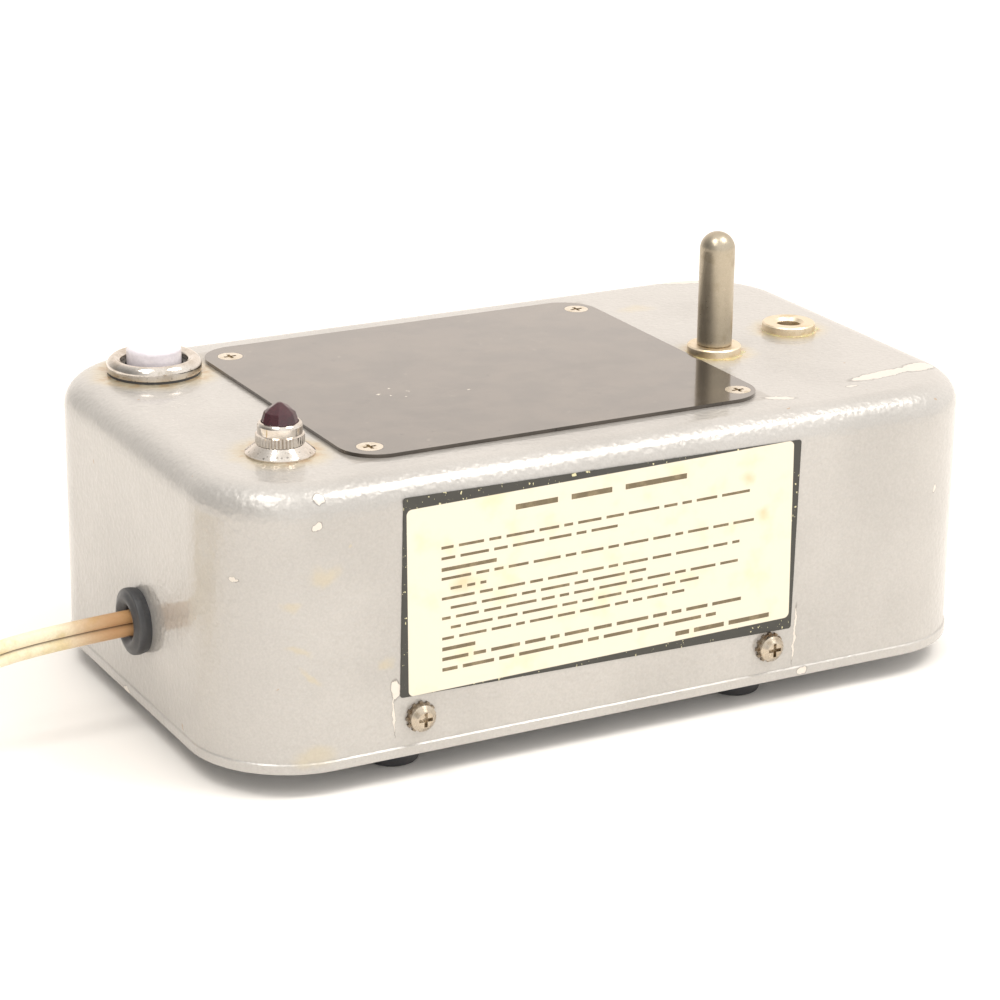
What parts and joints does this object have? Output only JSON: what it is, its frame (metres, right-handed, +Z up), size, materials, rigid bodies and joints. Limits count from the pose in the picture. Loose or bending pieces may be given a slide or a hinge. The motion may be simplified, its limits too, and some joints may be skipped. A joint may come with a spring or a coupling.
{
  "type": "bulk tape eraser",
  "caption": "Table-top bulk tape eraser: drawn steel case over an upward-facing electromagnet, black pole plate, plug-in reel spindle, push switch, pilot lamp and mains lead.",
  "frame": {"origin": "middle of the case's footprint, on the table under the feet (mains lead left out)", "axes": "+X along the length towards the reel spindle end, -Y out of the labelled long face, +Z up; the mains lead leaves the -X end"},
  "size_m": [0.3793, 0.1326, 0.0935],
  "materials": {
    "hammertone": "glossy silver hammertone enamel on drawn steel",
    "pole_sheet": "polished black phenolic sheet",
    "label_foil": "cream printed sticker with a dark border, varnished",
    "nickel_screw": "nickel-plated steel, slightly tarnished",
    "zinc_hardware": "zinc-plated steel",
    "nickel_pin": "turned steel, dull nickel plate",
    "nickel_socket": "turned brass, nickel plated",
    "chrome_trim": "bright chrome plate",
    "rubber_black": "moulded black rubber",
    "white_plastic": "white moulded plastic",
    "phenolic_black": "black phenolic moulding",
    "phenolic_brown": "brown laminated phenolic board",
    "brass_contact": "stamped brass",
    "spring_steel": "spring steel wire",
    "jewel_red": "moulded dark red faceted lens",
    "lamp_glass": "clear lamp glass",
    "core_steel": "stacked silicon-steel laminations, varnished",
    "copper_winding": "enamelled copper wire",
    "nylon_bobbin": "moulded bobbin",
    "tape_wrap": "varnished cloth tape",
    "cord_vinyl": "aged cream vinyl, two cores side by side",
    "wire_vinyl": "vinyl hook-up wire",
    "plug_vinyl": "aged cream moulded plug"
  },
  "bodies": {
    "housing": {"case_cover": "hammertone", "pole_plate": "pole_sheet", "pole_plate_screws": "nickel_screw", "pole_plate_nuts": "zinc_hardware", "label_plate": "label_foil", "base_tray": "zinc_hardware", "case_screws": "nickel_screw", "case_lock_washers": "nickel_screw", "foot_front_left": "rubber_black", "foot_front_right": "rubber_black", "foot_rear_left": "rubber_black", "foot_rear_right": "rubber_black", "foot_screws": "zinc_hardware", "foot_nuts": "zinc_hardware", "spindle_socket_inner": "nickel_socket", "spindle_socket_outer": "nickel_socket", "spindle_socket_nuts": "zinc_hardware", "switch_bezel": "chrome_trim", "switch_gasket": "rubber_black", "switch_body": "phenolic_black", "switch_nut": "zinc_hardware", "switch_spring": "spring_steel", "switch_terminals": "brass_contact", "pilot_bezel": "chrome_trim", "pilot_nut": "zinc_hardware", "pilot_lamp_base": "brass_contact", "pilot_lamp_glass": "lamp_glass", "pilot_socket": "phenolic_black", "pilot_terminals": "brass_contact", "core_laminations": "core_steel", "coil_bobbin": "nylon_bobbin", "coil_winding": "copper_winding", "coil_wrap": "tape_wrap", "core_bracket_front": "zinc_hardware", "core_bracket_rear": "zinc_hardware", "core_bolts": "zinc_hardware", "core_bolt_nuts": "zinc_hardware", "bracket_screws": "zinc_hardware", "bracket_nuts": "zinc_hardware", "tag_board": "phenolic_brown", "tag_foot": "zinc_hardware", "tag_lugs": "brass_contact", "tag_screw": "zinc_hardware", "hookup_wires": "wire_vinyl", "coil_leads": "wire_vinyl", "cord_grommet": "rubber_black", "power_cord": "cord_vinyl", "cord_coil": "cord_vinyl", "cord_tail": "cord_vinyl", "plug_body": "plug_vinyl", "plug_blades": "brass_contact"},
    "button": {"switch_button": "white_plastic", "switch_plunger": "phenolic_black", "switch_contact_disc": "brass_contact"},
    "spindle": {"spindle_pin": "nickel_pin"},
    "pilot_cap": {"pilot_ring": "chrome_trim", "pilot_jewel": "jewel_red"}
  },
  "joints": [
    {"name": "button_press", "type": "slide", "parent": "housing", "child": "button", "axis": [0, 0, -1], "range_m": [0, 0.003], "stiffness_N_per_m": 500, "springref_m": -0.005, "deforming": ["switch_spring"]},
    {"name": "spindle_lift", "type": "slide", "parent": "housing", "child": "spindle", "axis": [0, 0, 1], "range_m": [0, 0.02]},
    {"name": "pilot_cap_lift", "type": "slide", "parent": "housing", "child": "pilot_cap", "axis": [0, 0, 1], "range_m": [0, 0.012]}
  ]
}
